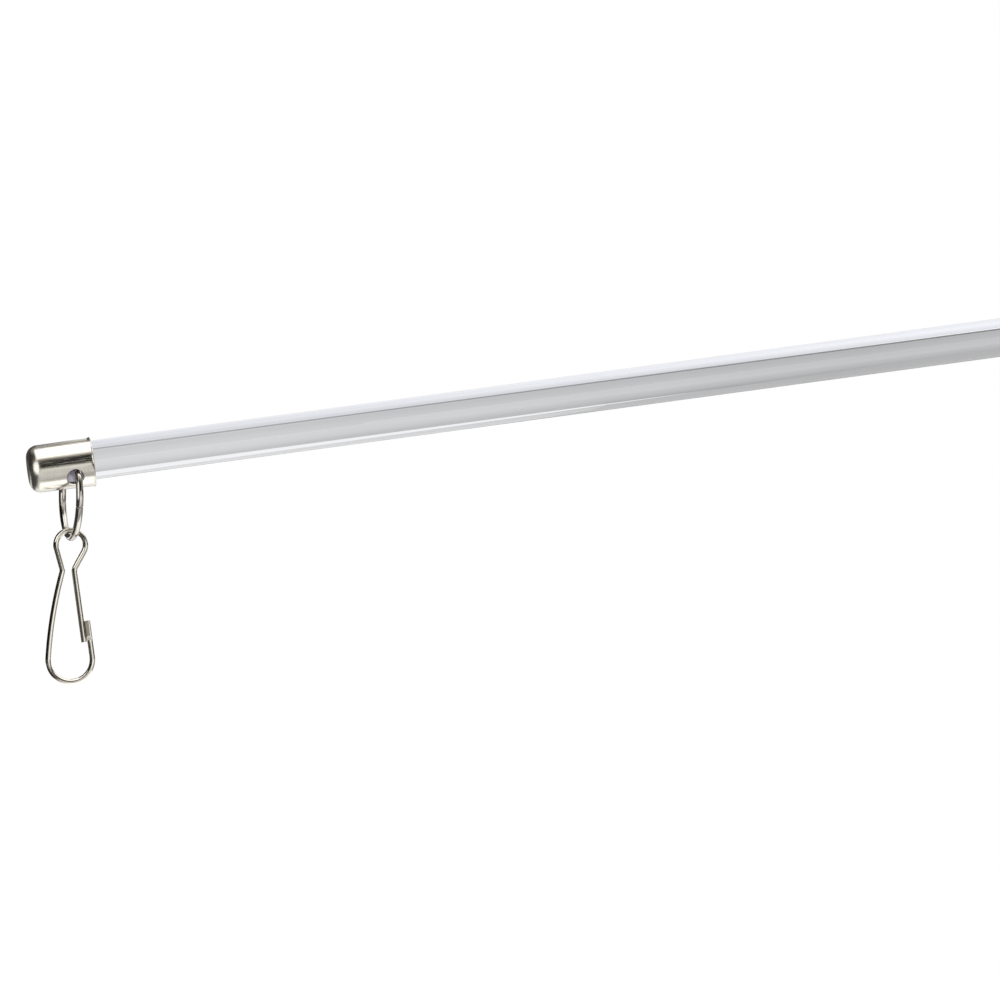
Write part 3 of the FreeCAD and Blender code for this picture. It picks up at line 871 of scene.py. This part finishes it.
def wall_glow(name):
    """Grey wall: darker towards the free end, and with the square of the height from its middle."""
    finish = fading_glow(name, (1.0, 1.0, 1.012), ALONG_X, 0.05, 0.25, 0.69, 0.535)
    tree = finish.node_tree
    strength = tree.nodes["Emission"].inputs["Strength"]
    along = strength.links[0].from_socket
    parts = tree.nodes.new("ShaderNodeSeparateXYZ")
    tree.links.new(tree.nodes["Texture Coordinate"].outputs["Object"], parts.inputs["Vector"])
    height = reckon(tree, "SUBTRACT", parts.outputs["Z"], WALL_MIDDLE)
    square = reckon(tree, "MULTIPLY", height, height)
    fall = reckon(tree, "MULTIPLY_ADD", square, WALL_FALL, 1.0)
    tree.links.new(reckon(tree, "MULTIPLY", along, fall), strength)
    return finish


def pale_floor():
    """Pale floor that takes the shadow, lifted to white for the camera, reflections and the rod."""
    finish, tree, surface = bare_finish("pale_floor")
    diffuse = tree.nodes.new("ShaderNodeBsdfDiffuse")
    diffuse.inputs["Color"].default_value = FLOOR_TINT
    emission = tree.nodes.new("ShaderNodeEmission")
    emission.inputs["Strength"].default_value = FLOOR_LIFT
    lift = tree.nodes.new("ShaderNodeMixShader")
    both = tree.nodes.new("ShaderNodeAddShader")
    tree.links.new(seen_directly(tree), lift.inputs["Fac"])
    tree.links.new(emission.outputs["Emission"], lift.inputs[2])
    tree.links.new(diffuse.outputs["BSDF"], both.inputs[0])
    tree.links.new(lift.outputs["Shader"], both.inputs[1])
    tree.links.new(both.outputs["Shader"], surface)
    return finish


def white_surround():
    """Even surround, white where it is seen and dimmer where it only lights."""
    world = bpy.data.worlds.new("white_surround")
    world.use_nodes = True
    tree = world.node_tree
    background = tree.nodes["Background"]
    background.inputs["Color"].default_value = (1.0, 1.0, 1.0, 1.0)
    strength = tree.nodes.new("ShaderNodeMapRange")
    strength.inputs["To Min"].default_value = SURROUND_LIGHT
    strength.inputs["To Max"].default_value = SURROUND_SEEN
    tree.links.new(seen_directly(tree), strength.inputs["Value"])
    tree.links.new(strength.outputs["Result"], background.inputs["Strength"])
    bpy.context.scene.world = world


def hang_lamp(name, lamp, way):
    """Puts a lamp in the scene, turned along the given way, so that it leaves no spot in metal or rod."""
    holder = bpy.data.objects.new(name, lamp)
    holder.rotation_euler = Vector(way).to_track_quat("-Z", "Y").to_euler()
    holder.visible_glossy = False
    holder.visible_transmission = False
    bpy.context.scene.collection.objects.link(holder)
    return holder


def soft_lamp(name, way, strength, spread_degrees):
    """Even soft light from far off."""
    lamp = bpy.data.lights.new(name, "SUN")
    lamp.energy = strength
    lamp.angle = math.radians(spread_degrees)
    hang_lamp(name, lamp, way)


def soft_panel(name, place, target, size, watts):
    """A soft square lamp turned to a point."""
    lamp = bpy.data.lights.new(name, "AREA")
    lamp.energy = watts
    lamp.size = size
    holder = hang_lamp(name, lamp, Vector(target) - Vector(place))
    holder.location = place
    holder.visible_camera = False


white_surround()
floor_start = (-FLOOR_HALF, -FLOOR_HALF, FLOOR_HEIGHT)
sheet("floor", floor_start, (2 * FLOOR_HALF, 0, 0), (0, 2 * FLOOR_HALF, 0), pale_floor())
soft_lamp("soft_light", way=(0.25, 0.45, -1.0), strength=1.3, spread_degrees=30.0)
soft_panel("front_light", place=(-0.005, -0.18, 0.02), target=(-0.005, 0.0, -0.003), size=0.05, watts=0.19)

# Seen through the rod: behind it a grey wall with a dark foot, a cool floor and a grey ceiling, and before
# it, for views from behind and above, a plain grey wall and floor. Each row has a name, a corner, two edges
# and a finish.
wall_finish = wall_glow("grey_wall")
foot_finish = fading_glow("wall_foot", (1, 1, 1.02), ALONG_X, 0.05, 0.25, 0.33, 0.19)
cool_finish = fading_glow("cool_floor", (0.965, 0.972, 1.03), (-0.75, 1.0, 0.0), 0.0, 0.23, 0.93, 0.67)
ceiling_finish = fading_glow("grey_ceiling", (1, 1, 1.01), ALONG_X, 0.05, 0.25, 0.66, 0.44)
gap_finish = glow("ceiling_gap", (1, 1, 1.01), 0.87)
near_finish = glow("near_grey", (1, 1, 1.015), 0.58)
through_rod = [
    ("grey_wall", (-0.3, WALL_Y, -0.150), (1.6, 0, 0.187), (0, 0, 0.279), wall_finish),
    ("wall_foot", (-0.3, WALL_Y, -0.171), (1.6, 0, 0.187), (0, 0, 0.021), foot_finish),
    ("cool_floor", (-0.3, 0.03, -0.158), (1.6, 0, 0), (0, 0.39, 0), cool_finish),
    ("grey_ceiling", (-0.3, 0.302, 0.599), (0.75, 0, -0.596), (0, -0.28, 0.5), ceiling_finish),
    ("ceiling_gap", (-0.3, 0.305, 0.10), (1.6, 0, 0), (0, 0, 0.5), gap_finish),
    ("near_wall", (-2.0, -1.2, -0.158), (4.0, 0, 0), (0, 0, 0.27), near_finish),
    ("near_floor", (-2.0, -1.2, -0.158), (4.0, 0, 0), (0, 1.23, 0), near_finish),
]
for row in through_rod:
    hidden_card(sheet(*row), glossy=False, transmission=True)

# Seen in the metal and on the rod's surface: a long soft box above, a dark front with a paler foot, grey
# floors, a white table, a dark roof, dark sides and back, and small white cards for the cap's mouth and
# corner
box_finish = glow("soft_box", WHITE, 1.9)
flag_finish = fading_glow("front_flag", (1, 0.96, 0.90), ALONG_Z, 0.38, 0.82, 0.034, 1.0, "SMOOTHSTEP")
low_finish = fading_glow("flag_foot", (1, 0.95, 0.86), ALONG_X, -0.35, -0.05, 0.08, 0.38)
front_finish = glow("front_floor", CREAM, 0.74)
spot_finish = glow("bright_floor", WHITE, 1.2)
shade_finish = glow("table_shade", CREAM, 0.52)
table_finish = fading_glow("white_table", WHITE, ALONG_X, -0.10, -0.03, 0.3, 1.55)
roof_finish = fading_glow("dark_roof", (1, 0.98, 0.94), ALONG_Y, 0.30, 0.55, 0.50, 0.15)
mouth_finish = glow("mouth_card", WHITE, 1.5)
corner_finish = glow("corner_card", WHITE, 1.5)
side_finish = fading_glow("left_flag", BROWN, ALONG_Z, -0.01, 0.06, 0.06, 0.01)
left_finish = glow("left_floor", BROWN, 0.05)
bright_finish = fading_glow("right_card", WHITE, ALONG_X, 0.15, 0.9, 1.3, 0.6)
right_finish = glow("right_flag", SAND, 0.12)
far_finish = glow("right_floor", (1, 0.99, 0.97), 0.42)
back_finish = glow("back_flag", SAND, 0.06)
heel_finish = glow("back_foot", SAND, 0.06)
small_finish = glow("low_card", WHITE, 1.3)
in_metal = [
    ("soft_box", (-0.28, -0.62, 0.73), (1.4, 0, 0), (0, 0.87, 0.05), box_finish),
    ("front_flag", (-0.62, -0.65, -0.01), (1.62, 0, 0), (0, 0, 0.86), flag_finish),
    ("flag_foot", (-0.62, -0.65, -0.07), (1.62, 0, 0), (0, 0, 0.06), low_finish),
    ("front_floor", (-1.2, -1.4, -0.157), (2.4, 0, 0), (0, 1.265, 0), front_finish),
    ("bright_floor", (0.12, -0.6, -0.153), (0.5, 0, 0), (0, 0.4, 0), spot_finish),
    ("table_shade", (-0.8, -0.135, -0.157), (1.8, 0, 0), (0, 0.085, 0), shade_finish),
    ("white_table", (-0.8, -0.05, -0.156), (0.95, 0, 0), (0, 0.15, 0), table_finish),
    ("dark_roof", (-0.8, 0.27, 0.75), (0.87, 0, 0), (0, 0.75, -0.03), roof_finish),
    ("mouth_card", (-0.024, -0.06, -0.013), (-0.076, 0, 0.024), (0, 0, 0.045), mouth_finish),
    ("corner_card", (-0.018, -0.02, -0.0105), (-0.036, 0, 0.004), (0, 0, 0.020), corner_finish),
    ("left_flag", (-0.6, -0.66, -0.155), (0, 1.21, 0), (0, 0, 2.15), side_finish),
    ("left_back", (-0.6, 0.55, -0.06), (0, 1.03, 0), (0, 0, 2.05), side_finish),
    ("left_floor", (-1.2, -1.4, -0.154), (1.08, 0, 0), (0, 1.95, 0), left_finish),
    ("right_card", (0.13, -0.54, -0.155), (0.9, 0, 0), (0, 0, 0.205), bright_finish),
    ("right_flag", (1.1, -0.6, -0.155), (0, 1.0, 0), (0, 0, 0.7), right_finish),
    ("right_floor", (0.15, -0.2, -0.155), (1.0, 0, 0), (0, 1.1, 0), far_finish),
    ("back_flag", (-0.62, 0.45, -0.03), (0.65, 0, 0), (0, 0, 0.375), back_finish),
    ("back_foot", (-0.1, 0.45, -0.155), (1.23, 0, 0), (0, 0, 0.125), heel_finish),
    ("low_card", (0.03, -0.54, -0.155), (0.10, 0, 0), (0, 0, 0.11), small_finish),
]
for row in in_metal:
    hidden_card(sheet(*row), glossy=True, transmission=False)


# Camera: level, a little left of square, and rolled so that the rod rises to the right. The focus is in
# pixels of a picture 1000 wide, and the cap's mouth is set at its place in the photo.

YAW = math.radians(7.86)
ROLL = math.radians(7.79)
FOCUS = 6868.0
DISTANCE = 1.669
PICTURE = 1000
MOUTH_PIXEL = (92.3, 459.9)

ahead = np.array([math.sin(YAW), math.cos(YAW), 0.0])
level = np.array([math.cos(YAW), -math.sin(YAW), 0.0])
plumb = np.array([0.0, 0.0, 1.0])
right = level * math.cos(ROLL) - plumb * math.sin(ROLL)
up = level * math.sin(ROLL) + plumb * math.cos(ROLL)
to_right = (MOUTH_PIXEL[0] - PICTURE / 2) / FOCUS * DISTANCE
to_top = (PICTURE / 2 - MOUTH_PIXEL[1]) / FOCUS * DISTANCE
eye = -ahead * DISTANCE - right * to_right - up * to_top

lens = bpy.data.cameras.new("camera")
lens.sensor_width = 36.0
lens.lens = FOCUS / PICTURE * lens.sensor_width
lens.clip_start = 0.01
lens.clip_end = 200.0
camera = bpy.data.objects.new("camera", lens)
camera.matrix_world = Matrix(np.column_stack([right, up, -ahead, eye]).tolist() + [[0, 0, 0, 1]])
bpy.context.scene.collection.objects.link(camera)
bpy.context.scene.camera = camera
bpy.context.scene.view_settings.view_transform = "Standard"
